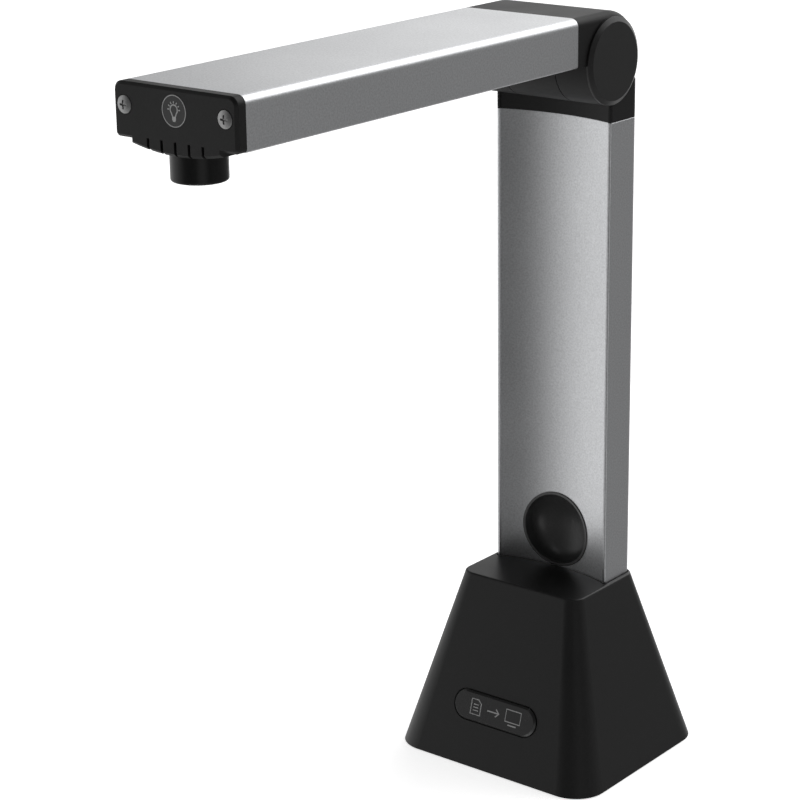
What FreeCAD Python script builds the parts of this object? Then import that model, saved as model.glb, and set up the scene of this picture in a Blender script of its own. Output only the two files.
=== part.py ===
import FreeCAD, Part
import math
import os
import Sketcher
from FreeCAD import Placement, Rotation, Vector

# Desk document camera: a hollow weighted base, an upright of extruded aluminium, and a camera arm
# of the same extrusion that folds down against the upright's front on a hinge at its top.
# Frame: origin at the centre of the base's underside, +Z up, the arm reaches to -Y, +X is right.
# Unless a comment says otherwise, sizes are in millimetres.

DIMENSIONS = {
    # base
    "base_half_width": 46.5,
    "base_half_depth": 41.5,
    "base_corner": 12.8,
    "base_underside": 0.6,
    "base_height": 71.9,
    "deck_half_width": 27.6,
    "deck_front": -20.4,
    "deck_back": 20.5,
    "deck_corner": 5.6,
    "base_wall": 2.2,
    "deck_wall": 2.6,
    "deck_gap": 0.4,
    "deck_rounding": 0.8,
    # hinge
    "hinge_y": 1.4,
    "hinge_z": 275.5,
    "fold_gap": 0.25,
    "barrel_radius": 16.1,
    "knuckle_left": -11.8,
    "knuckle_right": 11.8,
    "knuckle_gap": 0.35,
    "shaft_radius": 4.0,
    "shaft_clearance": 0.05,
    "bush_radius": 5.5,
    "bush_length": 5.0,
    "shell_gap": 0.3,
    "cradle_gap": 0.4,
    # extrusion used for the upright and the arm
    "profile_half_width": 26.0,
    "profile_depth": 17.7,
    "profile_corner": 3.1,
    "profile_wall": 1.6,
    "lip_width": 1.4,
    "lip_step": 0.6,
    "lip_rounding": 0.8,
    "channel_depth": 4.56,
    "port_offset": 21.2,
    "port_height": 10.45,
    "port_radius": 2.9,
    "screw_radius": 1.35,
    # upright
    "column_bottom": 14.0,
    "column_top": 252.5,
    "collar_back_drop": 8.7,
    "collar_plug": 12.0,
    "park_height": 87.2,
    "park_radius": 15.2,
    "park_wall": 1.0,
    "park_floor": 16.7,
    # arm, measured from the hinge axis towards the front
    "arm_rear": 21.4,
    "arm_seam": 196.1,
    "arm_length": 200.3,
    "lens_reach": 189.9,
    "lens_radius": 9.25,
    "lens_drop": 12.35,
    "belly_half_width": 19.4,
    "belly_step": 1.5,
    "belly_drop": 3.75,
    "housing_rear": 160.0,
    "slot_width": 1.1,
    "slot_pitch": 5.8,
    "slot_top": 0.9,
    "head_radius": 2.9,
    "key_radius": 5.2,
    # label plate on the base's front
    "label_length": 38.8,
    "label_height": 11.6,
    "label_centre": 23.4,
    # supply socket in the base's back
    "inlet_height": 19.0,
    "inlet_half_width": 8.0,
    "inlet_half_height": 5.0,
    "inlet_floor": 29.6,
}

doc = FreeCAD.newDocument("document_camera")
sheet = doc.addObject("Spreadsheet::Sheet", "dims")
for row, (alias, number) in enumerate(DIMENSIONS.items(), start=1):
    sheet.set(f"A{row}", alias)
    sheet.set(f"B{row}", str(number))
    sheet.setAlias(f"B{row}", alias)
doc.recompute()


class Size:
    """A length that keeps both its value and the sheet expression that gives it."""

    def __init__(self, text, value):
        self.text = text
        self.value = float(value)

    def __add__(self, other):
        return Size(f"({self.text} + {text_of(other)})", self.value + value_of(other))

    def __radd__(self, other):
        return Size(f"({text_of(other)} + {self.text})", value_of(other) + self.value)

    def __sub__(self, other):
        return Size(f"({self.text} - {text_of(other)})", self.value - value_of(other))

    def __rsub__(self, other):
        return Size(f"({text_of(other)} - {self.text})", value_of(other) - self.value)

    def __mul__(self, other):
        return Size(f"({self.text} * {text_of(other)})", self.value * value_of(other))

    def __rmul__(self, other):
        return self * other

    def __truediv__(self, other):
        return Size(f"({self.text} / {text_of(other)})", self.value / value_of(other))

    def __neg__(self):
        return Size(f"(0 - {self.text})", -self.value)


def value_of(size):
    return size.value if isinstance(size, Size) else float(size)


def text_of(size):
    return size.text if isinstance(size, Size) else f"({float(size)})"


def dim(alias):
    return Size(f"dims.{alias}", sheet.get(alias))


def bind(item, name, size):
    item.setExpression(name, text_of(size))


# --- outlines and sketches ---------------------------------------------------------------------

class Arc:
    """Marks the stretch after a corner as an arc: a positive radius turns left, a negative right."""

    def __init__(self, radius):
        self.radius = radius


def circle(centre_u, centre_v, radius):
    return {"circle": (centre_u, centre_v, radius)}


def polygon(*steps):
    """An outline through (u, v) corners, with an Arc between two corners where it is curved."""
    corners = []
    for step in steps:
        if isinstance(step, Arc):
            corners[-1][1] = step.radius
        else:
            corners.append([step, None])
    return {"corners": corners}


def rounded_box(u_low, u_high, v_low, v_high, radius):
    turn = Arc(radius)
    return polygon((u_low + radius, v_low), (u_high - radius, v_low), turn,
                   (u_high, v_low + radius), (u_high, v_high - radius), turn,
                   (u_high - radius, v_high), (u_low + radius, v_high), turn,
                   (u_low, v_high - radius), (u_low, v_low + radius), turn)


def plain_box(u_low, u_high, v_low, v_high):
    return polygon((u_low, v_low), (u_high, v_low), (u_high, v_high), (u_low, v_high))


def pin_point(sketch, edge, end, corner):
    """Holds a sketch point at its corner, on the axis where the coordinate is nought."""
    for kind, axis, size in (("DistanceX", -2, corner[0]), ("DistanceY", -1, corner[1])):
        if not isinstance(size, Size) and float(size) == 0.0:
            sketch.addConstraint(Sketcher.Constraint("PointOnObject", edge, end, axis))
            continue
        number = sketch.addConstraint(Sketcher.Constraint(kind, edge, end, value_of(size)))
        if isinstance(size, Size):
            sketch.setExpression(f"Constraints[{number}]", size.text)


def hold_radius(sketch, edge, radius):
    number = sketch.addConstraint(Sketcher.Constraint("Radius", edge, abs(value_of(radius))))
    if isinstance(radius, Size):
        size = radius if radius.value > 0 else -radius
        sketch.setExpression(f"Constraints[{number}]", size.text)


def arc_between(start, end, radius):
    chord = end - start
    side = Vector(-chord.y, chord.x, 0).normalize()
    reach = math.sqrt(max(radius * radius - chord.Length ** 2 / 4, 0.0))
    centre = (start + end) * 0.5 + side * (reach if radius > 0 else -reach)
    first, last = (start, end) if radius > 0 else (end, start)
    angles = [math.atan2(point.y - centre.y, point.x - centre.x) for point in (first, last)]
    if angles[1] <= angles[0]:
        angles[1] += 2 * math.pi
    return Part.ArcOfCircle(Part.Circle(centre, Vector(0, 0, 1), abs(radius)), *angles)


def draw(sketch, outline):
    if "circle" in outline:
        centre_u, centre_v, radius = outline["circle"]
        centre = Vector(value_of(centre_u), value_of(centre_v), 0)
        edge = sketch.addGeometry(Part.Circle(centre, Vector(0, 0, 1), value_of(radius)), False)
        pin_point(sketch, edge, 3, (centre_u, centre_v))
        hold_radius(sketch, edge, radius)
        return
    corners = outline["corners"]
    edges = []
    for number, (corner, radius) in enumerate(corners):
        following = corners[(number + 1) % len(corners)][0]
        start = Vector(value_of(corner[0]), value_of(corner[1]), 0)
        end = Vector(value_of(following[0]), value_of(following[1]), 0)
        if radius is None:
            edge = sketch.addGeometry(Part.LineSegment(start, end), False)
            edges.append((edge, 1, 2))
            continue
        turns_left = value_of(radius) > 0
        edge = sketch.addGeometry(arc_between(start, end, value_of(radius)), False)
        edges.append((edge, 1, 2) if turns_left else (edge, 2, 1))
    for number, (edge, first, last) in enumerate(edges):
        next_edge, next_first, next_last = edges[(number + 1) % len(edges)]
        sketch.addConstraint(Sketcher.Constraint("Coincident", edge, last, next_edge, next_first))
    for (corner, radius), (edge, first, last) in zip(corners, edges):
        pin_point(sketch, edge, first, corner)
        if radius is not None:
            hold_radius(sketch, edge, radius)


# Sketch axes on each plane: XY is (x, y) looking down, XZ is (x, z), YZ is (y, z).
PLANE_TURN = {
    "XY": Rotation(),
    "XZ": Rotation(Vector(1, 0, 0), 90),
    "YZ": Rotation(Vector(1, 1, 1), 120),
}
PLANE_AXIS = {"XY": "z", "XZ": "y", "YZ": "x"}


def body(label):
    item = doc.addObject("PartDesign::Body", label)
    item.Label = label
    return item


def body_sketch(item, plane, offset, outlines):
    """A sketch of the body on one of its own origin planes, moved along that plane's axis."""
    sketch = item.newObject("Sketcher::SketchObject", f"{item.Name}_sketch")
    origin_plane = [f for f in item.Origin.OriginFeatures if f.Role == f"{plane}_Plane"][0]
    sketch.AttachmentSupport = [(origin_plane, "")]
    sketch.MapMode = "FlatFace"
    along_normal = -offset if plane == "XZ" else offset
    bind(sketch, "AttachmentOffset.Base.z", along_normal)
    for outline in outlines:
        draw(sketch, outline)
    return sketch


def extend(item, plane, low, high, *outlines, cut=False):
    """Pads (or pockets) outlines of the body from one level to a higher one along the plane's axis."""
    start = high if plane == "XZ" else low
    sketch = body_sketch(item, plane, start, outlines)
    kind = "PartDesign::Pocket" if cut else "PartDesign::Pad"
    feature = item.newObject(kind, f"{item.Name}_{'pocket' if cut else 'pad'}")
    feature.Profile = sketch
    bind(feature, "Length", high - low)
    feature.Reversed = cut
    return checked(item, feature, removes=cut)


def turn(item, plane, offset, outline, cut=False, axis="V_Axis"):
    """Revolves (or grooves) an outline round one of its sketch's own axes."""
    sketch = body_sketch(item, plane, offset, [outline])
    kind = "PartDesign::Groove" if cut else "PartDesign::Revolution"
    feature = item.newObject(kind, f"{item.Name}_{'groove' if cut else 'turned'}")
    feature.Profile = sketch
    feature.ReferenceAxis = (sketch, [axis])
    feature.Angle = 360
    return checked(item, feature, removes=cut)


def checked(item, feature, removes):
    """Recomputes a new feature and makes sure that it changed the body's volume the right way."""
    before = item.Shape.Volume if item.Shape and not item.Shape.isNull() else 0.0
    item.Tip = feature
    doc.recompute()
    change = item.Shape.Volume - before
    if (change >= 0 and removes) or (change <= 0 and not removes):
        raise RuntimeError(f"{feature.Name} of {item.Label} changed the volume by {change:.3f}")
    return feature


def soften(item, radius, choose, kind="Fillet"):
    """Rounds or chamfers the body's edges that choose(edge) accepts."""
    doc.recompute()
    base = item.Tip
    names = [f"Edge{n}" for n, edge in enumerate(base.Shape.Edges, start=1) if choose(edge)]
    feature = item.newObject(f"PartDesign::{kind}", f"{item.Name}_{kind.lower()}")
    feature.Base = (base, names)
    bind(feature, "Radius" if kind == "Fillet" else "Size", radius)
    item.Tip = feature
    doc.recompute()
    return feature


def edge_box_matches(edge, **limits):
    """True where every named limit of the edge's box, such as ZMin, lies within 0.01 mm."""
    box = edge.BoundBox
    return all(abs(getattr(box, name) - value_of(size)) < 0.01 for name, size in limits.items())


# --- primitives and booleans ---------------------------------------------------------------------

AXIS_TURN = {
    "+X": Rotation(Vector(0, 1, 0), 90),
    "+Y": Rotation(Vector(1, 0, 0), -90),
    "+Z": Rotation(),
}


def place(item, x, y, z, turned=Rotation()):
    item.Placement = Placement(Vector(value_of(x), value_of(y), value_of(z)), turned)
    for name, size in (("x", x), ("y", y), ("z", z)):
        if isinstance(size, Size):
            bind(item, f"Placement.Base.{name}", size)
    return item


def block(name, x_low, x_high, y_low, y_high, z_low, z_high):
    item = doc.addObject("Part::Box", name)
    bind(item, "Length", x_high - x_low)
    bind(item, "Width", y_high - y_low)
    bind(item, "Height", z_high - z_low)
    return place(item, x_low, y_low, z_low)


def rod(name, axis, start, length, radius):
    """A cylinder from its start point along +X, +Y or +Z."""
    item = doc.addObject("Part::Cylinder", name)
    bind(item, "Radius", radius)
    bind(item, "Height", length)
    return place(item, *start, AXIS_TURN[axis])


def cone(name, axis, start, length, radius_start, radius_end):
    item = doc.addObject("Part::Cone", name)
    bind(item, "Radius1", radius_start)
    bind(item, "Radius2", radius_end)
    bind(item, "Height", length)
    return place(item, *start, AXIS_TURN[axis])


def join(name, *items):
    item = doc.addObject("Part::MultiFuse", name)
    item.Shapes = list(items)
    return item


def subtract(name, base, *tools):
    item = doc.addObject("Part::Cut", name)
    item.Base = base
    item.Tool = tools[0] if len(tools) == 1 else join(f"{name}_tools", *tools)
    return item


def overlap(name, *items):
    item = doc.addObject("Part::MultiCommon", name)
    item.Shapes = list(items)
    return item


def tube(name, axis, start, length, outer, inner):
    return subtract(name, rod(f"{name}_outside", axis, start, length, outer),
                    rod(f"{name}_bore", axis, start, length, inner))


def plane_sketch(name, plane, offset, *outlines):
    sketch = doc.addObject("Sketcher::SketchObject", name)
    levels = {"x": 0.0, "y": 0.0, "z": 0.0}
    levels[PLANE_AXIS[plane]] = offset
    place(sketch, levels["x"], levels["y"], levels["z"], PLANE_TURN[plane])
    for outline in outlines:
        draw(sketch, outline)
    return sketch


def loft(name, low, high):
    item = doc.addObject("Part::Loft", name)
    item.Sections = [low, high]
    item.Solid = True
    item.Ruled = True
    return item


# --- shared values -------------------------------------------------------------------------------

base_half_width = dim("base_half_width")
base_half_depth = dim("base_half_depth")
base_height = dim("base_height")
base_underside = dim("base_underside")
base_wall = dim("base_wall")
deck_half_width = dim("deck_half_width")
deck_front = dim("deck_front")
deck_back = dim("deck_back")
hinge_y = dim("hinge_y")
hinge_z = dim("hinge_z")
fold_gap = dim("fold_gap")
barrel_radius = dim("barrel_radius")
knuckle_left = dim("knuckle_left")
knuckle_right = dim("knuckle_right")
knuckle_gap = dim("knuckle_gap")
shaft_radius = dim("shaft_radius")
bush_radius = dim("bush_radius")
bush_length = dim("bush_length")
half_width = dim("profile_half_width")
profile_depth = dim("profile_depth")
profile_wall = dim("profile_wall")
lip_width = dim("lip_width")
lip_step = dim("lip_step")
channel_depth = dim("channel_depth")
port_offset = dim("port_offset")
port_height = dim("port_height")
port_radius = dim("port_radius")
screw_radius = dim("screw_radius")
head_radius = dim("head_radius")
column_bottom = dim("column_bottom")
column_top = dim("column_top")
park_height = dim("park_height")
park_radius = dim("park_radius")
lens_radius = dim("lens_radius")
belly_half_width = dim("belly_half_width")
belly_step = dim("belly_step")
belly_drop = dim("belly_drop")
slot_width = dim("slot_width")

column_front = hinge_y + fold_gap
column_back = column_front + profile_depth
arm_bottom = hinge_z + fold_gap
arm_top = arm_bottom + profile_depth
arm_seam_y = hinge_y - dim("arm_seam")
arm_front_y = hinge_y - dim("arm_length")
arm_rear_y = hinge_y - dim("arm_rear")
lens_y = hinge_y - dim("lens_reach")
housing_rear_y = hinge_y - dim("housing_rear")
port_y = column_front + port_height
port_z = arm_bottom + port_height


def arc_radius(half_chord, sag):
    """The radius of an arc with this half chord and this sag."""
    return (half_chord * half_chord + sag * sag) / (sag * 2)


def profile_outline(level, grow=0.0):
    """The extrusion's outer outline in (u, v): lips at v = level, rounded corners at the far side.

    The lipped side is hollowed by a shallow arc between the lips; grow moves every side outwards.
    """
    side = half_width + grow
    lip = half_width - lip_width - grow
    foot = level - grow
    far = level + profile_depth + grow
    corner = dim("profile_corner") + grow
    sag = channel_depth - lip_step
    ledge = level + lip_step - grow
    arch = arc_radius(lip, sag)
    edge = dim("lip_rounding")
    return polygon((edge - side, foot), (-lip, foot), (-lip, ledge), Arc(-arch), (lip, ledge),
                   (lip, foot), (side - edge, foot), Arc(edge), (side, foot + edge),
                   (side, far - corner), Arc(corner), (side - corner, far),
                   (corner - side, far), Arc(corner), (-side, far - corner),
                   (-side, foot + edge), Arc(edge))


def hollow_outline(level):
    """The extrusion's inner outline, one wall inside the outer one."""
    side = half_width - profile_wall
    ledge = level + lip_step + profile_wall
    far = level + profile_depth - profile_wall
    corner = dim("profile_corner") - profile_wall
    arch = arc_radius(side, channel_depth - lip_step)
    return polygon((-side, ledge), Arc(-arch), (side, ledge),
                   (side, far - corner), Arc(corner), (side - corner, far),
                   (corner - side, far), Arc(corner), (-side, far - corner))


def screw_port(side, level):
    """The outline of a screw port that grows from the extrusion's side wall, left (-1) or right."""
    centre = port_offset * side
    wall = (half_width - profile_wall * 0.5) * side
    middle = level + port_height
    low = middle - port_radius
    high = middle + port_radius
    round_end = Arc(port_radius * side)
    return polygon((wall, high), (centre, high), round_end, (centre - port_radius * side, middle),
                   round_end, (centre, low), (wall, low))


# --- screws ---------------------------------------------------------------------------------------

SCREW_FACING = {
    "+Y": Rotation(Vector(1, 0, 0), -90),
    "-Y": Rotation(Vector(1, 0, 0), 90),
    "+Z": Rotation(),
    "-Z": Rotation(Vector(1, 0, 0), 180),
}
HEAD_EDGE = 0.5
HEAD_TOP = 1.15
CROSS_DEPTH = 0.8
CROSS_REACH = 1.45
CROSS_HALF_WIDTH = 0.32
SCREW_CLEARANCE = 0.2
HEAD_CLEARANCE = 0.2


def pan_screw(name, seat, facing, length):
    """A pan-head screw with a crossed recess; seat is the middle of the underside of its head."""
    outline = polygon((0.0, -length), (screw_radius, -length), (screw_radius, 0.0), (head_radius, 0.0),
                      (head_radius, HEAD_EDGE), Arc(arc_radius(head_radius, HEAD_TOP - HEAD_EDGE)),
                      (0.0, HEAD_TOP))
    blank = doc.addObject("Part::Revolution", f"{name}_blank")
    blank.Source = plane_sketch(f"{name}_outline", "XZ", 0.0, outline)
    blank.Axis = Vector(0, 0, 1)
    blank.Angle = 360
    blank.Solid = True
    low, high = HEAD_TOP - CROSS_DEPTH, HEAD_TOP + 1.0
    slots = [block(f"{name}_slot_{n}", -reach_x, reach_x, -reach_y, reach_y, low, high)
             for n, (reach_x, reach_y) in enumerate(((CROSS_REACH, CROSS_HALF_WIDTH),
                                                     (CROSS_HALF_WIDTH, CROSS_REACH)))]
    return place(subtract(name, blank, *slots), *seat, SCREW_FACING[facing])


def make_screws(label, seats, facing, length):
    """Several screws of one kind as one sub-part."""
    return join(label, *[pan_screw(f"{label}_{n}", seat, facing, length)
                         for n, seat in enumerate(seats)])


# --- base -----------------------------------------------------------------------------------------

BOSS_POINTS = ((-36.0, 0.0), (36.0, 0.0), (0.0, -31.0), (-22.0, 30.0), (22.0, 30.0))
BOSS_RADIUS = 3.8
BOSS_HEIGHT = 34.0
PILOT_LENGTH = 14.0
FOOT_POINTS = ((0.0, 0.0), (-33.0, -28.0), (33.0, -28.0), (33.0, 28.0), (-33.0, 28.0))
FOOT_RADIUS = 6.0
FOOT_SEAT = 0.8
COVER_THICKNESS = 2.0
COVER_HEAD_DEPTH = 1.4
COVER_SIDE_GAP = 0.9
COVER_CORNER_INSET = 3.4
INLET_SKIN = 1.5
PORT_GAP = 0.1
BALLAST_BOX = (-30.0, 30.0, -26.0, 24.0)
BALLAST_CORNER = 4.0

cover_top = base_underside + COVER_THICKNESS
inlet_z = dim("inlet_height")
inlet_floor = dim("inlet_floor")


def taper_share(level):
    """How far up the tapered base a height is, from nought at its foot to one at its deck."""
    return (level - base_underside) / (base_height - base_underside)


def base_front_y(level):
    return (deck_front + base_half_depth) * taper_share(level) - base_half_depth


def base_section(name, level, inset):
    """A rounded rectangle of the tapered base at a height, moved in by the wall where asked."""
    share = taper_share(level)
    half_x = base_half_width + (deck_half_width - base_half_width) * share - inset
    front = base_front_y(level) + inset
    back = base_half_depth + (deck_back - base_half_depth) * share - inset
    foot_corner = dim("base_corner")
    corner = foot_corner + (dim("deck_corner") - foot_corner) * share - inset
    return plane_sketch(name, "XY", level, rounded_box(-half_x, half_x, front, back, corner))


def label_pill(name, grow, depth_in, depth_out):
    """A pill-shaped block that lies on the base's sloping front face."""
    centre = dim("label_centre")
    rise = value_of(base_height - base_underside)
    lean = math.degrees(math.atan2(value_of(deck_front + base_half_depth), rise))
    half_long = dim("label_length") * 0.5 + grow
    radius = dim("label_height") * 0.5 + grow
    sketch = doc.addObject("Sketcher::SketchObject", f"{name}_outline")
    end = Arc(radius)
    draw(sketch, polygon((radius - half_long, -radius), (half_long - radius, -radius), end,
                         (half_long, 0.0), end, (half_long - radius, radius),
                         (radius - half_long, radius), end, (-half_long, 0.0), end))
    place(sketch, 0.0, base_front_y(centre), centre, Rotation(Vector(1, 0, 0), 90 - lean))
    item = doc.addObject("Part::Extrusion", name)
    item.Base = sketch
    item.DirMode = "Normal"
    item.LengthFwd = depth_out
    item.LengthRev = depth_in
    item.Solid = True
    return item


def make_base_housing():
    outside = loft("base_outside", base_section("base_foot_edge", base_underside, 0.0),
                   base_section("base_deck_edge", base_height, 0.0))
    inside = loft("base_inside", base_section("base_inner_foot", base_underside, base_wall),
                  base_section("base_inner_roof", base_height - dim("deck_wall"), base_wall))
    doc.recompute()
    rounding = value_of(dim("deck_rounding"))
    rounded = doc.addObject("Part::Fillet", "base_rounded")
    rounded.Base = outside
    rounded.Edges = [(n, rounding, rounding)
                     for n, edge in enumerate(outside.Shape.Edges, start=1)
                     if edge_box_matches(edge, ZMin=base_height, ZMax=base_height)]
    skin = subtract("base_skin", rounded, inside)
    bosses = [rod(f"base_boss_{n}", "+Z", (x, y, cover_top), BOSS_HEIGHT, BOSS_RADIUS)
              for n, (x, y) in enumerate(BOSS_POINTS)]
    pilots = [rod(f"base_pilot_{n}", "+Z", (x, y, base_underside), PILOT_LENGTH, screw_radius)
              for n, (x, y) in enumerate(BOSS_POINTS)]
    reach_x = dim("inlet_half_width")
    reach_z = dim("inlet_half_height")
    tub = block("inlet_tub", -reach_x - INLET_SKIN, reach_x + INLET_SKIN,
                inlet_floor - INLET_SKIN, base_half_depth,
                inlet_z - reach_z - INLET_SKIN, inlet_z + reach_z + INLET_SKIN)
    trimmed = overlap("base_inner_features", join("base_added", tub, *bosses), outside)
    mouth = block("inlet_mouth", -reach_x, reach_x, inlet_floor, base_half_depth + 5.0,
                  inlet_z - reach_z, inlet_z + reach_z)
    port = block("inlet_port", -USB_HALF_WIDTH - PORT_GAP, USB_HALF_WIDTH + PORT_GAP, inlet_floor - 3.0,
                 inlet_floor + 1.0, inlet_z - USB_HALF_HEIGHT - PORT_GAP,
                 inlet_z + USB_HALF_HEIGHT + PORT_GAP)
    opening = doc.addObject("Part::Extrusion", "deck_opening")
    opening.Base = plane_sketch("deck_opening_outline", "XY", base_height - 6.0,
                                profile_outline(column_front, dim("deck_gap")))
    opening.DirMode = "Normal"
    opening.LengthFwd = 12.0
    opening.Solid = True
    groove = label_pill("label_groove", LABEL_GROOVE, LABEL_DEPTH, 3.0)
    full = join("base_full", skin, trimmed)
    return subtract("base_housing", full, mouth, port, opening, groove, *pilots)


LABEL_DEPTH = 0.9
LABEL_PROUD = 0.9
LABEL_GROOVE = 0.45
LABEL_CHAMFER = 0.75


def make_label_plate():
    blank = label_pill("label_blank", 0.0, LABEL_DEPTH, LABEL_PROUD)
    doc.recompute()
    flat_faces = sorted(blank.Shape.Faces, key=lambda face: face.Area, reverse=True)[:2]
    outward = min(flat_faces, key=lambda face: face.CenterOfMass.y)
    item = doc.addObject("Part::Chamfer", "label_plate")
    item.Base = blank
    item.Edges = [(n, LABEL_CHAMFER, LABEL_CHAMFER)
                  for n, edge in enumerate(blank.Shape.Edges, start=1)
                  if any(edge.isSame(other) for other in outward.Edges)]
    return item


def make_base_bottom_cover():
    item = body("base_bottom_cover")
    reach_x = base_half_width - base_wall - COVER_SIDE_GAP
    reach_y = base_half_depth - base_wall - COVER_SIDE_GAP
    extend(item, "XY", base_underside, cover_top,
           rounded_box(-reach_x, reach_x, -reach_y, reach_y, dim("base_corner") - COVER_CORNER_INSET))
    extend(item, "XY", base_underside, base_underside + FOOT_SEAT,
           *[circle(x, y, FOOT_RADIUS) for x, y in FOOT_POINTS], cut=True)
    extend(item, "XY", base_underside, cover_top,
           *[circle(x, y, screw_radius + SCREW_CLEARANCE) for x, y in BOSS_POINTS], cut=True)
    extend(item, "XY", base_underside, base_underside + COVER_HEAD_DEPTH,
           *[circle(x, y, head_radius + HEAD_CLEARANCE) for x, y in BOSS_POINTS], cut=True)
    return item


def make_bottom_cover_screws():
    seat_z = base_underside + COVER_HEAD_DEPTH
    return make_screws("bottom_cover_screws", [(x, y, seat_z) for x, y in BOSS_POINTS], "-Z", 11.0)


def make_rubber_feet():
    discs = [cone(f"foot_{n}", "+Z", (x, y, 0.0), base_underside + FOOT_SEAT, FOOT_RADIUS - 0.4,
                  FOOT_RADIUS) for n, (x, y) in enumerate(FOOT_POINTS)]
    return join("rubber_feet", *discs)


def make_ballast_weight():
    item = body("ballast_weight")
    extend(item, "XY", cover_top, column_bottom - FLANGE_THICKNESS,
           rounded_box(*BALLAST_BOX, BALLAST_CORNER))
    return item


# --- supply socket in the base's back -------------------------------------------------------------

USB_HALF_WIDTH = 4.5
USB_HALF_HEIGHT = 1.65
USB_SKIN = 0.35
USB_LENGTH = 7.5
BOARD_THICKNESS = 1.2


def make_usb_receptacle():
    item = body("usb_receptacle")
    mouth = inlet_floor + 0.8
    extend(item, "XZ", mouth - USB_LENGTH, mouth,
           rounded_box(-USB_HALF_WIDTH, USB_HALF_WIDTH, inlet_z - USB_HALF_HEIGHT,
                       inlet_z + USB_HALF_HEIGHT, 1.5))
    inner_x = USB_HALF_WIDTH - USB_SKIN
    inner_z = USB_HALF_HEIGHT - USB_SKIN
    extend(item, "XZ", mouth - USB_LENGTH + 1.0, mouth,
           rounded_box(-inner_x, inner_x, inlet_z - inner_z, inlet_z + inner_z, 1.2), cut=True)
    return item


def make_usb_tongue():
    mouth = inlet_floor + 0.8
    return block("usb_tongue", -3.3, 3.3, mouth - USB_LENGTH + 1.0, mouth - 0.6,
                 inlet_z - 0.35, inlet_z + 0.35)


def make_usb_board():
    top = inlet_z - USB_HALF_HEIGHT
    return block("usb_board", -16.5, 16.5, column_back + 2.6, inlet_floor - INLET_SKIN,
                 top - BOARD_THICKNESS, top)


# --- upright --------------------------------------------------------------------------------------

FLANGE_THICKNESS = 1.4
FLANGE_BOX = (-29.0, 29.0, -4.0, 24.0)
FLANGE_CORNER = 3.0
SOCKET_GAP = 0.6
SOCKET_HALF_WIDTH = 17.5
SOCKET_HEIGHT = 20.0
FIXING_POINTS = ((-12.0, 25.0), (12.0, 25.0))
inner_front_y = column_front + channel_depth + profile_wall
inner_back_y = column_back - profile_wall


def make_column_socket():
    """A foot plate under the upright with a block that reaches up inside it."""
    item = body("column_socket")
    extend(item, "XY", column_bottom - FLANGE_THICKNESS, column_bottom,
           rounded_box(*FLANGE_BOX, FLANGE_CORNER))
    extend(item, "XY", column_bottom, column_bottom + SOCKET_HEIGHT,
           plain_box(-SOCKET_HALF_WIDTH, SOCKET_HALF_WIDTH, inner_front_y + SOCKET_GAP, inner_back_y))
    extend(item, "XZ", inner_front_y + SOCKET_GAP, inner_back_y,
           *[circle(x, z, screw_radius) for x, z in FIXING_POINTS], cut=True)
    return item


def make_column_fixing_screws():
    seats = [(x, column_back, z) for x, z in FIXING_POINTS]
    return make_screws("column_fixing_screws", seats, "+Y", 9.0)


def extrude_profile(label, plane, level, low, high):
    """A length of the hollow extrusion with its two screw ports."""
    item = body(label)
    extend(item, plane, low, high, profile_outline(level), hollow_outline(level))
    for side in (-1, 1):
        extend(item, plane, low, high, screw_port(side, level))
    extend(item, plane, low, high,
           *[circle(port_offset * side, level + port_height, screw_radius) for side in (-1, 1)],
           cut=True)
    return item


def make_column_extrusion():
    item = extrude_profile("column_extrusion", "XY", column_front, column_bottom, column_top)
    extend(item, "XZ", column_front - 1.0, inner_front_y + 1.0, circle(0.0, park_height, park_radius),
           cut=True)
    extend(item, "XZ", inner_back_y, column_back,
           *[circle(x, z, screw_radius + SCREW_CLEARANCE) for x, z in FIXING_POINTS], cut=True)
    return item


PARK_PROUD = 0.35
PARK_BACK_RADIUS = 9.5
PARK_SHOULDER = 4.2
# The bowl's floor bends round a large radius that runs smoothly into a tighter one at its wall.
PARK_FLOOR_RADIUS = 22.0
PARK_BEND_RADIUS = 6.5


def make_lens_parking_cup():
    """A bowl let into the upright's front that takes the lens when the arm is folded down."""
    item = body("lens_parking_cup")
    place(item, 0.0, 0.0, park_height)
    front = column_front - 1.0
    floor = dim("park_floor")
    wall = dim("park_wall")
    turn(item, "YZ", 0.0, polygon((front, 0.0), (floor + wall, 0.0), (floor + wall, PARK_BACK_RADIUS),
                                  (floor - PARK_SHOULDER, park_radius - 0.6),
                                  (inner_front_y + 1.0, park_radius), (front, park_radius)),
         axis="H_Axis")
    bowl = park_radius - wall
    bend_from_axis = bowl.value - PARK_BEND_RADIUS
    centre_gap = math.sqrt((PARK_FLOOR_RADIUS - PARK_BEND_RADIUS) ** 2 - bend_from_axis ** 2)
    share = PARK_FLOOR_RADIUS / (PARK_FLOOR_RADIUS - PARK_BEND_RADIUS)
    floor_centre = floor - PARK_FLOOR_RADIUS
    turn(item, "YZ", 0.0, polygon((front - 1.0, 0.0), (floor, 0.0), Arc(PARK_FLOOR_RADIUS),
                                  (floor_centre + centre_gap * share, bend_from_axis * share),
                                  Arc(PARK_BEND_RADIUS), (floor_centre + centre_gap, bowl),
                                  (front - 1.0, bowl)), cut=True, axis="H_Axis")
    lip = half_width - lip_width
    ledge = column_front + lip_step - PARK_PROUD
    arch = arc_radius(lip, channel_depth - lip_step)
    extend(item, "XY", -20.0, 20.0,
           polygon((-lip, column_front - 5.0), (lip, column_front - 5.0), (lip, ledge), Arc(arch),
                   (-lip, ledge)), cut=True)
    return item


COLLAR_SCREW_SEAT = 5.5


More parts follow.
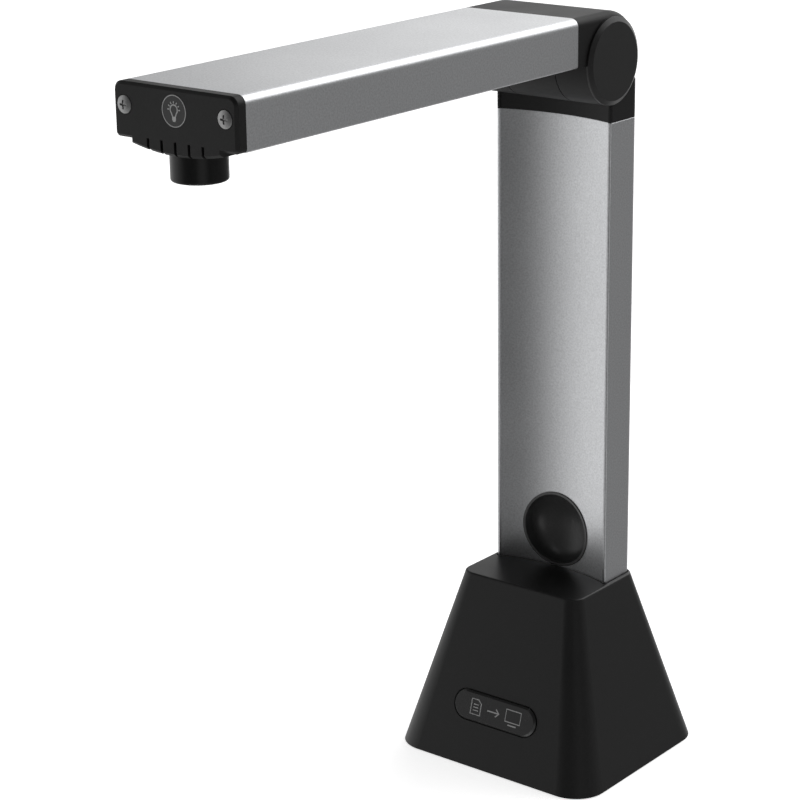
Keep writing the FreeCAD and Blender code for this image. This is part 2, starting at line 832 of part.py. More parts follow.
def make_column_top_collar():
    """The upright's plastic top: a cradle for the arm's barrel, with the fixed knuckle in it."""
    item = body("column_top_collar")
    extend(item, "XY", column_top, hinge_z - dim("collar_back_drop"), profile_outline(column_front))
    cradle = circle(hinge_y, hinge_z, barrel_radius + dim("cradle_gap"))
    extend(item, "YZ", -half_width - 1.0, knuckle_left, cradle, cut=True)
    extend(item, "YZ", knuckle_right, half_width + 1.0, cradle, cut=True)
    extend(item, "YZ", knuckle_left, knuckle_right, circle(hinge_y, hinge_z, barrel_radius))
    extend(item, "YZ", knuckle_left, knuckle_right, circle(hinge_y, hinge_z, bush_radius), cut=True)
    extend(item, "XY", column_top - dim("collar_plug"), column_top,
           plain_box(-SOCKET_HALF_WIDTH, SOCKET_HALF_WIDTH, inner_front_y + SOCKET_GAP, inner_back_y - 0.2))
    seat = column_top + COLLAR_SCREW_SEAT
    ports = [(port_offset * side, port_y) for side in (-1, 1)]
    extend(item, "XY", column_top, seat,
           *[circle(x, y, screw_radius + SCREW_CLEARANCE) for x, y in ports], cut=True)
    extend(item, "XY", seat, seat + 8.0,
           *[circle(x, y, head_radius + HEAD_CLEARANCE) for x, y in ports], cut=True)
    return item


def make_collar_screws():
    seats = [(port_offset * side, port_y, column_top + COLLAR_SCREW_SEAT) for side in (-1, 1)]
    return make_screws("collar_screws", seats, "+Z", 16.0)


# --- hinge ----------------------------------------------------------------------------------------

CLIP_COUNT = 3
CLIP_SPACING = 0.3
SHAFT_REACH = 23.5
RING_LOW = 21.5
RING_HIGH = 22.4
RING_GROOVE = 3.3
EAR_RECESS = 11.5
SHELL_END_ANGLE = 25.0
running_bore = shaft_radius + dim("shaft_clearance")


def make_hinge_bushes():
    starts = (knuckle_left, knuckle_right - bush_length)
    return join("hinge_bushes", *[tube(f"bush_{n}", "+X", (start, hinge_y, hinge_z), bush_length,
                                       bush_radius, running_bore) for n, start in enumerate(starts)])


def make_friction_clips():
    """Curled steel clips between the bushes that grip the shaft and hold the arm where it is put."""
    first = knuckle_left + bush_length + CLIP_SPACING
    last = knuckle_right - bush_length - CLIP_SPACING
    width = (last - first - CLIP_SPACING * (CLIP_COUNT - 1)) / CLIP_COUNT
    clips = []
    for n in range(CLIP_COUNT):
        start = first + (width + CLIP_SPACING) * n
        ring = tube(f"clip_ring_{n}", "+X", (start, hinge_y, hinge_z), width, bush_radius, running_bore)
        slit = block(f"clip_slit_{n}", start - 0.1, start + width + 0.1, hinge_y + 2.0,
                     hinge_y + bush_radius + 1.0, hinge_z - 0.5, hinge_z + 0.5)
        clips.append(subtract(f"clip_{n}", ring, slit))
    return join("friction_clips", *clips)


def make_hinge_shaft():
    item = body("hinge_shaft")
    place(item, 0.0, hinge_y, hinge_z)
    half = polygon((-SHAFT_REACH, 0.0), (SHAFT_REACH, 0.0), (SHAFT_REACH, shaft_radius - 0.5),
                   (SHAFT_REACH - 0.5, shaft_radius), (RING_HIGH, shaft_radius),
                   (RING_HIGH, RING_GROOVE), (RING_LOW, RING_GROOVE), (RING_LOW, shaft_radius),
                   (-RING_LOW, shaft_radius), (-RING_LOW, RING_GROOVE), (-RING_HIGH, RING_GROOVE),
                   (-RING_HIGH, shaft_radius), (0.5 - SHAFT_REACH, shaft_radius),
                   (-SHAFT_REACH, shaft_radius - 0.5))
    turn(item, "XZ", 0.0, half, axis="H_Axis")
    return item


def make_shaft_rings():
    starts = (-RING_HIGH, RING_LOW)
    return join("shaft_rings", *[tube(f"shaft_ring_{n}", "+X", (start, hinge_y, hinge_z),
                                      RING_HIGH - RING_LOW, 6.4, RING_GROOVE)
                                 for n, start in enumerate(starts)])


def make_arm_hinge_shell():
    """The arm's plastic root: two barrel ears, a flat top and a rear quarter round over the knuckle."""
    item = body("arm_hinge_shell")
    place(item, 0.0, hinge_y, hinge_z)
    top = fold_gap + profile_depth
    rear = -dim("arm_rear")
    along, down = slope_of(SHELL_END_ANGLE)
    past_along, past_down = slope_of(SHELL_END_ANGLE * 2)
    extend(item, "YZ", -half_width, half_width,
           polygon((rear, fold_gap), (0.0, fold_gap), (0.0, 0.0), (top * past_along, top * past_down),
                   Arc(top), (0.0, top), (rear, top)))
    soften(item, dim("profile_corner"), lambda edge: on_shell_side(edge, top))
    extend(item, "YZ", -half_width - 1.0, half_width + 1.0,
           polygon((0.0, 0.0), (0.0, -top * 2), (top * 2 * along, -top * 2),
                   (top * 2 * along, top * 2 * down)), cut=True)
    extend(item, "YZ", -half_width, half_width, circle(0.0, 0.0, barrel_radius))
    extend(item, "XZ", rear - PLUG_LENGTH, rear,
           plain_box(-PLUG_HALF_WIDTH, PLUG_HALF_WIDTH, fold_gap + 6.7, top - profile_wall - 0.2))
    extend(item, "YZ", knuckle_left - knuckle_gap, knuckle_right + knuckle_gap,
           circle(0.0, 0.0, barrel_radius + dim("shell_gap")), cut=True)
    extend(item, "YZ", -half_width, half_width, circle(0.0, 0.0, shaft_radius), cut=True)
    for low, high in ((-half_width, -RING_LOW), (RING_LOW, half_width)):
        extend(item, "YZ", low, high, circle(0.0, 0.0, EAR_RECESS), cut=True)
    extend(item, "XY", 0.0, top - profile_wall - 1.0,
           *[circle(x, rear - PLUG_LENGTH * 0.5, screw_radius) for x in JOINT_SCREWS_X], cut=True)
    return item


def slope_of(angle):
    """The (y, z) direction of a ray that falls by an angle in degrees behind the hinge axis."""
    return math.cos(math.radians(angle)), -math.sin(math.radians(angle))


def on_shell_side(edge, top):
    """True for the long top edges and the rear arcs at the shell's two ends."""
    box = edge.BoundBox
    on_end = box.XLength < 0.01 and abs(abs(box.XMin) - value_of(half_width)) < 0.01
    return on_end and abs(box.ZMax - value_of(top)) < 0.01 and box.YLength > 0.1


def make_hinge_cap(label, side):
    """A round end cover; side is 1 on the right and -1 on the left."""
    item = body(label)
    place(item, 0.0, hinge_y, hinge_z)
    rim = half_width + 0.7
    face = half_width + 1.7
    inner = half_width - 2.0
    steps = [(inner, 0.0), (face, 0.0), (face, barrel_radius - 1.8), (rim, barrel_radius),
             (half_width, barrel_radius), (half_width, EAR_RECESS - 0.2), (inner, EAR_RECESS - 0.2)]
    outline = polygon(*[(x * side, radius) for x, radius in steps])
    turn(item, "XZ", 0.0, outline, axis="H_Axis")
    return item


# --- arm ------------------------------------------------------------------------------------------

PLUG_LENGTH = 8.0
PLUG_HALF_WIDTH = 17.3
JOINT_SCREWS_X = (-12.0, 12.0)
JOINT_SCREW_SEAT = 3.1
SLOT_COUNT = 5
SLOT_DEPTH = 1.6
CAP_BOTTOM_CORNER = 1.5
CAP_CHAMFER = 0.9
CAP_SCREW_SINK = 0.4
KEY_DEPTH = 1.0
HOUSING_TOP = 7.2
LENS_CLEARANCE = 0.1
joint_screw_y = arm_rear_y - PLUG_LENGTH * 0.5
key_z = arm_bottom + 10.65
belly_z = arm_bottom - belly_drop
belly_arch = arc_radius(belly_half_width, belly_drop - belly_step)


def make_arm_extrusion():
    item = extrude_profile("arm_extrusion", "XZ", arm_bottom, arm_seam_y, arm_rear_y)
    reach = belly_half_width + 0.1
    extend(item, "XZ", arm_seam_y, housing_rear_y,
           plain_box(-reach, reach, arm_bottom - 1.0, arm_bottom + HOUSING_TOP - 0.2), cut=True)
    extend(item, "XY", arm_bottom, arm_bottom + 7.0,
           *[circle(x, joint_screw_y, screw_radius + SCREW_CLEARANCE) for x in JOINT_SCREWS_X], cut=True)
    return item


def make_arm_joint_screws():
    seats = [(x, joint_screw_y, arm_bottom + JOINT_SCREW_SEAT) for x in JOINT_SCREWS_X]
    return make_screws("arm_joint_screws", seats, "-Z", 10.0)


def cap_outline():
    """The arm's end: the extrusion's outline with a bowed belly below its middle."""
    foot = CAP_BOTTOM_CORNER
    corner = dim("profile_corner")
    return polygon((-belly_half_width, arm_bottom), (-belly_half_width, arm_bottom - belly_step),
                   Arc(belly_arch), (belly_half_width, arm_bottom - belly_step),
                   (belly_half_width, arm_bottom), (half_width - foot, arm_bottom), Arc(foot),
                   (half_width, arm_bottom + foot), (half_width, arm_top - corner), Arc(corner),
                   (half_width - corner, arm_top), (corner - half_width, arm_top), Arc(corner),
                   (-half_width, arm_top - corner), (-half_width, arm_bottom + foot), Arc(foot),
                   (foot - half_width, arm_bottom))


def make_end_cap():
    item = body("end_cap")
    extend(item, "XZ", arm_front_y, arm_seam_y, cap_outline())
    soften(item, CAP_CHAMFER, lambda edge: edge_box_matches(edge, YMin=arm_front_y, YMax=arm_front_y),
           kind="Chamfer")
    extend(item, "XZ", arm_seam_y, arm_seam_y + 5.0,
           plain_box(-PLUG_HALF_WIDTH, PLUG_HALF_WIDTH, arm_bottom + 8.6, arm_top - profile_wall - 0.3))
    slots = []
    for n in range(SLOT_COUNT):
        middle = dim("slot_pitch") * (n - (SLOT_COUNT - 1) / 2)
        slots.append(plain_box(middle - slot_width * 0.5, middle + slot_width * 0.5,
                               belly_z - 1.0, arm_bottom + dim("slot_top")))
    extend(item, "XZ", arm_front_y, arm_front_y + SLOT_DEPTH, *slots, cut=True)
    extend(item, "XZ", arm_front_y, arm_front_y + KEY_DEPTH, circle(0.0, key_z, dim("key_radius")),
           cut=True)
    extend(item, "XZ", arm_front_y + SLOT_DEPTH, arm_seam_y + 5.0,
           plain_box(-8.0, 8.0, arm_bottom + 8.8, arm_bottom + 15.6), cut=True)
    ports = [(port_offset * side, port_z) for side in (-1, 1)]
    extend(item, "XZ", arm_front_y, arm_seam_y,
           *[circle(x, z, screw_radius + SCREW_CLEARANCE) for x, z in ports], cut=True)
    extend(item, "XZ", arm_front_y, arm_front_y + CAP_SCREW_SINK,
           *[circle(x, z, head_radius + HEAD_CLEARANCE) for x, z in ports], cut=True)
    extend(item, "XY", belly_z - 1.0, arm_bottom + HOUSING_TOP,
           circle(0.0, lens_y, lens_radius + LENS_CLEARANCE), cut=True)
    return item


def make_end_cap_screws():
    seats = [(port_offset * side, arm_front_y + CAP_SCREW_SINK, port_z) for side in (-1, 1)]
    return make_screws("end_cap_screws", seats, "-Y", 15.0)


def make_touch_key_window():
    return rod("touch_key_window", "+Y", (0.0, arm_front_y, key_z), KEY_DEPTH, dim("key_radius") - 0.05)


def make_touch_sensor_board():
    return block("touch_sensor_board", -7.5, 7.5, arm_front_y + SLOT_DEPTH,
                 arm_front_y + SLOT_DEPTH + BOARD_THICKNESS, arm_bottom + 9.0, arm_bottom + 15.4)


LED_WINDOW_Y = -171.0
LED_HALF_LENGTH = 7.0
LED_HALF_WIDTH = 3.5
HOUSING_WALL = 2.0


def make_camera_housing():
    """The tray under the arm's end: bowed outside, open above, with the lens and lamp openings."""
    item = body("camera_housing")
    top = arm_bottom + HOUSING_TOP
    floor = arm_bottom - 0.75
    extend(item, "XZ", arm_seam_y, housing_rear_y,
           polygon((-belly_half_width, arm_bottom - belly_step), Arc(belly_arch),
                   (belly_half_width, arm_bottom - belly_step), (belly_half_width, top),
                   (-belly_half_width, top)))
    inner = belly_half_width - HOUSING_WALL
    extend(item, "XY", floor, top,
           plain_box(-inner, inner, arm_seam_y + HOUSING_WALL, housing_rear_y - HOUSING_WALL), cut=True)
    extend(item, "XY", belly_z - 1.0, top, circle(0.0, lens_y, lens_radius), cut=True)
    extend(item, "XY", belly_z - 1.0, floor,
           plain_box(-LED_HALF_LENGTH, LED_HALF_LENGTH, LED_WINDOW_Y - LED_HALF_WIDTH,
                     LED_WINDOW_Y + LED_HALF_WIDTH), cut=True)
    return item


LENS_GLASS_RADIUS = 6.4
LENS_BORE = 5.6
LENS_SEAT = -10.2
LENS_TOP = 3.0
LENS_EDGE = 0.8


def make_lens_barrel():
    item = body("lens_barrel")
    place(item, 0.0, lens_y, hinge_z)
    low = -dim("lens_drop")
    turn(item, "XZ", 0.0, polygon((LENS_GLASS_RADIUS + 0.7, low), (lens_radius - LENS_EDGE, low),
                                  Arc(LENS_EDGE), (lens_radius, low + LENS_EDGE),
                                  (lens_radius, LENS_TOP), (LENS_BORE, LENS_TOP),
                                  (LENS_BORE, LENS_SEAT), (LENS_GLASS_RADIUS, LENS_SEAT),
                                  (LENS_GLASS_RADIUS, LENS_SEAT - 1.4)))
    return item


def make_lens_front_glass():
    return rod("lens_front_glass", "+Z", (0.0, lens_y, hinge_z + LENS_SEAT - 1.2), 1.2,
               LENS_GLASS_RADIUS)


def make_lens_elements():
    levels = (-8.0, -5.0, -1.0)
    return join("lens_elements", *[rod(f"lens_element_{n}", "+Z", (0.0, lens_y, hinge_z + level), 1.6,
                                       LENS_BORE) for n, level in enumerate(levels)])


CAMERA_BOARD_LOW = 5.9


def make_image_sensor():
    level = hinge_z + CAMERA_BOARD_LOW
    return block("image_sensor", -4.0, 4.0, lens_y - 4.0, lens_y + 4.0, level - 1.1, level)


def make_camera_board():
    level = hinge_z + CAMERA_BOARD_LOW
    return block("camera_board", -15.0, 15.0, arm_seam_y + HOUSING_WALL + 0.3, housing_rear_y - 4.0,
                 level, level + BOARD_THICKNESS)


def make_led_board():
    return block("led_board", -9.0, 9.0, LED_WINDOW_Y - 4.5, LED_WINDOW_Y + 4.5, hinge_z + 1.2,
                 hinge_z + 2.4)


def make_led_chips():
    chips = [block(f"led_chip_{n}", x - 1.4, x + 1.4, LED_WINDOW_Y - 1.4, LED_WINDOW_Y + 1.4,
                   hinge_z + 0.4, hinge_z + 1.2) for n, x in enumerate((-4.5, 0.0, 4.5))]
    return join("led_chips", *chips)


def make_led_window():
    return block("led_window", -LED_HALF_LENGTH, LED_HALF_LENGTH, LED_WINDOW_Y - LED_HALF_WIDTH,
                 LED_WINDOW_Y + LED_HALF_WIDTH, belly_z + 0.4, arm_bottom - 0.75)


# --- build and write --------------------------------------------------------------------------------

SUB_PARTS = (
    make_base_housing(),
    make_base_bottom_cover(),
    make_bottom_cover_screws(),
    make_rubber_feet(),
    make_ballast_weight(),
    make_label_plate(),
    make_usb_receptacle(),
    make_usb_tongue(),
    make_usb_board(),
    make_column_socket(),
    make_column_fixing_screws(),
    make_column_extrusion(),
    make_lens_parking_cup(),
    make_column_top_collar(),
    make_collar_screws(),
    make_hinge_bushes(),
    make_friction_clips(),
    make_hinge_shaft(),
    make_shaft_rings(),
    make_arm_hinge_shell(),
    make_hinge_cap("hinge_cap_left", -1),
    make_hinge_cap("hinge_cap_right", 1),
    make_arm_extrusion(),
    make_arm_joint_screws(),
    make_end_cap(),
    make_end_cap_screws(),
    make_touch_key_window(),
    make_touch_sensor_board(),
    make_camera_housing(),
    make_lens_barrel(),
    make_lens_front_glass(),
    make_lens_elements(),
    make_image_sensor(),
    make_camera_board(),
    make_led_board(),
    make_led_chips(),
    make_led_window(),
)

doc.recompute()
failed = [item.Name for item in doc.Objects if {"Invalid", "Error"} & set(item.State)]
if failed:
    raise RuntimeError(f"these objects failed: {', '.join(failed)}")
for item in SUB_PARTS:
    if item.Shape.isNull() or not item.Shape.isValid() or not item.Shape.Solids:
        raise RuntimeError(f"{item.Label} has no valid solid")

os.makedirs("parts", exist_ok=True)
for item in SUB_PARTS:
    item.Shape.exportStep(f"parts/{item.Label}.step")
    box = item.Shape.BoundBox
    print(f"{item.Label}: {len(item.Shape.Solids)} solid, {item.Shape.Volume / 1000:.2f} cm3, "
          f"x {box.XMin:.2f}..{box.XMax:.2f} y {box.YMin:.2f}..{box.YMax:.2f} "
          f"z {box.ZMin:.2f}..{box.ZMax:.2f}")
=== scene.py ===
import math

import bmesh
import bpy
from mathutils import Matrix, Vector


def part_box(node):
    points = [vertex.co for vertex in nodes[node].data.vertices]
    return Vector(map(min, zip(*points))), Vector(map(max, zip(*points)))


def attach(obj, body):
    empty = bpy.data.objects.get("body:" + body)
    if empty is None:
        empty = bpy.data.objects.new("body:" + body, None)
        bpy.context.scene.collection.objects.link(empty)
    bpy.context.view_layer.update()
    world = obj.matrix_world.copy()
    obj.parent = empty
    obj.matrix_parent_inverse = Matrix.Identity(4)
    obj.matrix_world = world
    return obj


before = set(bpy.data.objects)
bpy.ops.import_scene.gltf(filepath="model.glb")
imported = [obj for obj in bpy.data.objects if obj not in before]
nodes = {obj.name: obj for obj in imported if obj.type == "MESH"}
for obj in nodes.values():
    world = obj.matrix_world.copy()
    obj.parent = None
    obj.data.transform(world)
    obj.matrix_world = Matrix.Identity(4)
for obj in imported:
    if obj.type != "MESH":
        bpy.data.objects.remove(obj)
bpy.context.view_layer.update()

# A desk document camera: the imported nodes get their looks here, and the printed marks are added.
# Lengths are in metres; values multiplied by MM are given in millimetres.
MM = 0.001

# --- camera ---------------------------------------------------------------------------------------

CAMERA_PLACE = Vector((0.5121, -0.7247, 0.4281))
CAMERA_AZIMUTH = math.radians(38.94)
CAMERA_ELEVATION = math.radians(17.85)
CAMERA_ROLL = math.radians(-0.8)
CAMERA_LENS = 108.92
CAMERA_SENSOR = 36.0
CAMERA_CLIP = (0.01, 50.0)


def make_camera():
    camera = bpy.data.objects.new("camera", bpy.data.cameras.new("camera"))
    bpy.context.scene.collection.objects.link(camera)
    back = Vector((math.sin(CAMERA_AZIMUTH) * math.cos(CAMERA_ELEVATION),
                   -math.cos(CAMERA_AZIMUTH) * math.cos(CAMERA_ELEVATION),
                   math.sin(CAMERA_ELEVATION)))
    right = Vector((math.cos(CAMERA_AZIMUTH), math.sin(CAMERA_AZIMUTH), 0.0))
    turned = Matrix((right, back.cross(right), back)).transposed()
    camera.matrix_world = (Matrix.Translation(CAMERA_PLACE) @ turned.to_4x4()
                           @ Matrix.Rotation(CAMERA_ROLL, 4, "Z"))
    camera.data.lens = CAMERA_LENS
    camera.data.sensor_width = CAMERA_SENSOR
    camera.data.clip_start, camera.data.clip_end = CAMERA_CLIP
    bpy.context.scene.camera = camera


# --- light ----------------------------------------------------------------------------------------

WORLD_LEVEL = 0.165
# Soft panels round the object: (direction, inner angle, outer angle, strength).
PANELS = (
    ((-0.28, 0.93, 0.20), 10.0, 36.0, 1.6),
    ((0.30, 0.66, 0.68), 12.0, 36.0, 3.0),
    ((-0.97, -0.18, -0.20), 10.0, 66.0, 1.05),
    ((0.70, 0.70, -0.12), 20.0, 60.0, 0.15),
    ((0.25, -0.25, -0.94), 12.0, 48.0, 1.6),
    ((0.80, -0.58, -0.15), 6.0, 24.0, 0.7),
    ((-0.17, 0.76, -0.62), 8.0, 26.0, 1.4),
)


def make_world():
    """A dim even sky with soft bright panels in fixed directions."""
    world = bpy.data.worlds.new("studio")
    bpy.context.scene.world = world
    world.use_nodes = True
    tree = world.node_tree
    tree.nodes.clear()
    aim = tree.nodes.new("ShaderNodeTexCoord").outputs["Generated"]
    level = None
    for direction, inner, outer, strength in PANELS:
        dot = tree.nodes.new("ShaderNodeVectorMath")
        dot.operation = "DOT_PRODUCT"
        dot.inputs[1].default_value = Vector(direction).normalized()
        tree.links.new(aim, dot.inputs[0])
        fade = tree.nodes.new("ShaderNodeMapRange")
        fade.interpolation_type = "SMOOTHSTEP"
        fade.inputs["From Min"].default_value = math.cos(math.radians(outer))
        fade.inputs["From Max"].default_value = math.cos(math.radians(inner))
        fade.inputs["To Max"].default_value = strength
        tree.links.new(dot.outputs["Value"], fade.inputs["Value"])
        add = tree.nodes.new("ShaderNodeMath")
        add.operation = "ADD"
        add.inputs[1].default_value = WORLD_LEVEL
        tree.links.new(fade.outputs["Result"], add.inputs[0])
        if level is not None:
            tree.links.new(level, add.inputs[1])
        level = add.outputs["Value"]
    glow = tree.nodes.new("ShaderNodeBackground")
    tree.links.new(level, glow.inputs["Strength"])
    out = tree.nodes.new("ShaderNodeOutputWorld")
    tree.links.new(glow.outputs["Background"], out.inputs["Surface"])


FLOOR_REACH = 12.0
FLOOR_TONE = (0.93, 0.93, 0.93, 1)
FLOOR_GLOW = 0.75


def make_floor():
    """A plain pale floor with a little light of its own, left out of reflections."""
    mesh = bpy.data.meshes.new("floor")
    corners = [(-FLOOR_REACH, -FLOOR_REACH, 0), (FLOOR_REACH, -FLOOR_REACH, 0),
               (FLOOR_REACH, FLOOR_REACH, 0), (-FLOOR_REACH, FLOOR_REACH, 0)]
    mesh.from_pydata(corners, [], [(0, 1, 2, 3)])
    floor = bpy.data.objects.new("floor", mesh)
    bpy.context.scene.collection.objects.link(floor)
    material = bpy.data.materials.new("pale_floor")
    material.use_nodes = True
    shader = material.node_tree.nodes["Principled BSDF"]
    shader.inputs["Base Color"].default_value = FLOOR_TONE
    shader.inputs["Roughness"].default_value = 1.0
    shader.inputs["Specular IOR Level"].default_value = 0.0
    shader.inputs["Emission Color"].default_value = (1, 1, 1, 1)
    shader.inputs["Emission Strength"].default_value = FLOOR_GLOW
    mesh.materials.append(material)
    floor.visible_glossy = False


# --- materials ------------------------------------------------------------------------------------

GRAIN_SPAN = (0.3, 0.7)


class Look:
    """A Principled material with procedural grain; textures follow the object's own coordinates."""

    def __init__(self, name, metallic=0.0, coat=0.0, specular=0.5, ior=1.5):
        self.material = bpy.data.materials.new(name)
        self.material.use_nodes = True
        self.tree = self.material.node_tree
        self.shader = self.tree.nodes["Principled BSDF"]
        self.shader.inputs["Metallic"].default_value = metallic
        self.shader.inputs["Coat Weight"].default_value = coat
        self.shader.inputs["Specular IOR Level"].default_value = specular
        self.shader.inputs["IOR"].default_value = ior
        self.place = self.tree.nodes.new("ShaderNodeTexCoord").outputs["Object"]
        self.normal = None

    def node(self, kind, **values):
        item = self.tree.nodes.new(kind)
        for name, value in values.items():
            item.inputs[name].default_value = value
        return item

    def join(self, output, socket):
        self.tree.links.new(output, socket)

    def noise(self, scale, detail=2.0, stretch=(1, 1, 1)):
        """Noise with features about 1 / scale metres across, stretched along chosen axes."""
        mapping = self.tree.nodes.new("ShaderNodeMapping")
        mapping.inputs["Scale"].default_value = stretch
        self.join(self.place, mapping.inputs["Vector"])
        texture = self.node("ShaderNodeTexNoise", Scale=scale, Detail=detail, Roughness=0.6)
        self.join(mapping.outputs["Vector"], texture.inputs["Vector"])
        return texture.outputs["Fac"]

    def tint(self, fac, dark, light, low=GRAIN_SPAN[0], high=GRAIN_SPAN[1]):
        """Base colour that varies between two tones with fac."""
        ramp = self.tree.nodes.new("ShaderNodeValToRGB")
        ramp.color_ramp.elements[0].position = low
        ramp.color_ramp.elements[0].color = (*dark, 1)
        ramp.color_ramp.elements[1].position = high
        ramp.color_ramp.elements[1].color = (*light, 1)
        self.join(fac, ramp.inputs["Fac"])
        self.join(ramp.outputs["Color"], self.shader.inputs["Base Color"])
        return self

    def rough(self, fac, low, high):
        """Roughness that varies between two values with fac."""
        span = self.node("ShaderNodeMapRange")
        span.inputs["From Min"].default_value = GRAIN_SPAN[0]
        span.inputs["From Max"].default_value = GRAIN_SPAN[1]
        span.inputs["To Min"].default_value = low
        span.inputs["To Max"].default_value = high
        self.join(fac, span.inputs["Value"])
        self.join(span.outputs["Result"], self.shader.inputs["Roughness"])
        return self

    def soft_edges(self, radius):
        """Rounds the look of sharp edges by a radius in metres."""
        bevel = self.tree.nodes.new("ShaderNodeBevel")
        bevel.samples = 4
        bevel.inputs["Radius"].default_value = radius
        self.normal = bevel.outputs["Normal"]
        self.join(self.normal, self.shader.inputs["Normal"])
        return self

    def bump(self, fac, height, strength=1.0):
        bump = self.node("ShaderNodeBump", Strength=strength, Distance=height)
        self.join(fac, bump.inputs["Height"])
        if self.normal is not None:
            self.join(self.normal, bump.inputs["Normal"])
        self.normal = bump.outputs["Normal"]
        self.join(self.normal, self.shader.inputs["Normal"])
        return self


def black_plastic(name, tone=0.0075, roughness=(0.36, 0.44), grain=1500.0, depth=0.012, edge=0.25,
                  specular=0.5):
    look = Look(name, specular=specular)
    fine = look.noise(grain, detail=3.0)
    broad = look.noise(28.0, detail=2.0)
    look.tint(fine, (tone * 0.8,) * 3, (tone * 1.2, tone * 1.2, tone * 1.22))
    look.rough(broad, *roughness)
    look.soft_edges(edge * MM)
    look.bump(fine, depth * MM, 0.5)
    return look.material


def anodised(name, along):
    """Sand-blasted anodised aluminium; along is the extrusion's direction as a stretch of the noise."""
    look = Look(name, metallic=1.0)
    speckle = look.noise(1500.0, detail=4.0)
    drawn = look.noise(700.0, detail=2.0, stretch=along)
    broad = look.noise(18.0, detail=2.0)
    look.tint(speckle, (0.52, 0.525, 0.535), (0.74, 0.75, 0.765), 0.25, 0.75)
    look.rough(broad, 0.32, 0.37)
    look.soft_edges(0.4 * MM)
    look.bump(drawn, 0.004 * MM, 0.35)
    look.bump(speckle, 0.022 * MM, 0.5)
    return look.material


def steel(name, tone=0.62, roughness=(0.22, 0.34)):
    look = Look(name, metallic=1.0)
    fine = look.noise(2600.0, detail=3.0)
    look.tint(fine, (tone * 0.85,) * 3, (tone * 1.1,) * 3)
    look.rough(look.noise(420.0), *roughness)
    look.soft_edges(0.12 * MM)
    look.bump(fine, 0.006 * MM, 0.4)
    return look.material


def turned_brass(name):
    look = Look(name, metallic=1.0)
    fine = look.noise(1800.0, detail=3.0)
    look.tint(fine, (0.58, 0.41, 0.17), (0.78, 0.60, 0.28))
    look.rough(fine, 0.25, 0.4)
    look.bump(fine, 0.006 * MM, 0.4)
    return look.material


def rubber(name):
    look = Look(name, specular=0.25)
    fine = look.noise(1200.0, detail=5.0)
    look.tint(fine, (0.008,) * 3, (0.018,) * 3)
    look.rough(fine, 0.72, 0.88)
    look.bump(fine, 0.03 * MM, 0.6)
    return look.material


def cast_iron(name):
    look = Look(name, metallic=0.6)
    fine = look.noise(600.0, detail=6.0)
    look.tint(fine, (0.05,) * 3, (0.12,) * 3)
    look.rough(fine, 0.5, 0.7)
    look.bump(fine, 0.12 * MM, 0.7)
    return look.material


def circuit_board(name):
    look = Look(name, coat=0.4)
    lines = look.noise(260.0, detail=1.0, stretch=(1, 0.15, 1))
    look.tint(lines, (0.01, 0.10, 0.04), (0.02, 0.20, 0.08), 0.48, 0.52)
    look.rough(lines, 0.3, 0.4)
    look.bump(lines, 0.03 * MM, 0.5)
    return look.material


def coated_glass(name):
    look = Look(name, coat=1.0, ior=1.52)
    look.shader.inputs["Transmission Weight"].default_value = 0.85
    haze = look.noise(90.0)
    look.tint(haze, (0.16, 0.20, 0.30), (0.22, 0.24, 0.36))
    look.rough(haze, 0.02, 0.05)
    return look.material


def frosted(name, dark, light):
    look = Look(name, coat=0.3)
    look.shader.inputs["Transmission Weight"].default_value = 0.25
    fine = look.noise(900.0, detail=3.0)
    look.tint(fine, dark, light)
    look.rough(fine, 0.4, 0.55)
    look.bump(fine, 0.02 * MM, 0.5)
    return look.material


def printed(name, tone):
    look = Look(name)
    fine = look.noise(3000.0, detail=2.0)
    look.tint(fine, (tone * 0.85,) * 3, (tone * 1.1,) * 3)
    look.rough(fine, 0.45, 0.6)
    return look.material


# The extrusion's noise is drawn out along the upright (Z) and along the arm (Y).
COLUMN_DRAW = (1.0, 1.0, 0.012)
ARM_DRAW = (1.0, 0.012, 1.0)

LOOKS = {
    "housing": black_plastic("base_plastic", tone=0.0068, specular=0.38),
    "hinge": black_plastic("hinge_plastic", tone=0.0065, roughness=(0.44, 0.50), specular=0.2),
    "cap": black_plastic("end_cap_plastic", tone=0.0065, roughness=(0.40, 0.48), specular=0.22),
    "disc": black_plastic("disc_plastic", tone=0.008, roughness=(0.34, 0.40), specular=0.4),
    # The lens cup is black plastic, but its tone is set well above the other black plastics as a painted
    # sheen in the bowl; its high specular adds real reflection.
    "cup": black_plastic("cup_plastic", tone=0.030, roughness=(0.36, 0.42), edge=0.3, specular=0.9),
    "barrel": black_plastic("barrel_plastic", tone=0.0035, roughness=(0.26, 0.32), specular=0.25),
    "label": black_plastic("label_plastic", tone=0.010, roughness=(0.24, 0.30), grain=2200.0),
    "key": black_plastic("key_plastic", tone=0.006, roughness=(0.30, 0.36), grain=2600.0),
    "column": anodised("anodised_upright", COLUMN_DRAW),
    "arm": anodised("anodised_arm", ARM_DRAW),
    "screw": steel("zinc_screws", tone=0.34, roughness=(0.34, 0.46)),
    "socket": steel("socket_steel", tone=0.55),
    "brass": turned_brass("bush_brass"),
    "rubber": rubber("foot_rubber"),
    "iron": cast_iron("ballast_iron"),
    "board": circuit_board("circuit_board"),
    "glass": coated_glass("lens_glass"),
    "sensor": black_plastic("sensor_face", tone=0.02, roughness=(0.15, 0.2)),
    "led": frosted("led_phosphor", (0.70, 0.55, 0.08), (0.85, 0.72, 0.2)),
    "diffuser": frosted("lamp_diffuser", (0.62, 0.63, 0.64), (0.80, 0.81, 0.82)),
    "print": printed("grey_print", 0.27),
    "label_print": printed("label_print", 0.30),
}

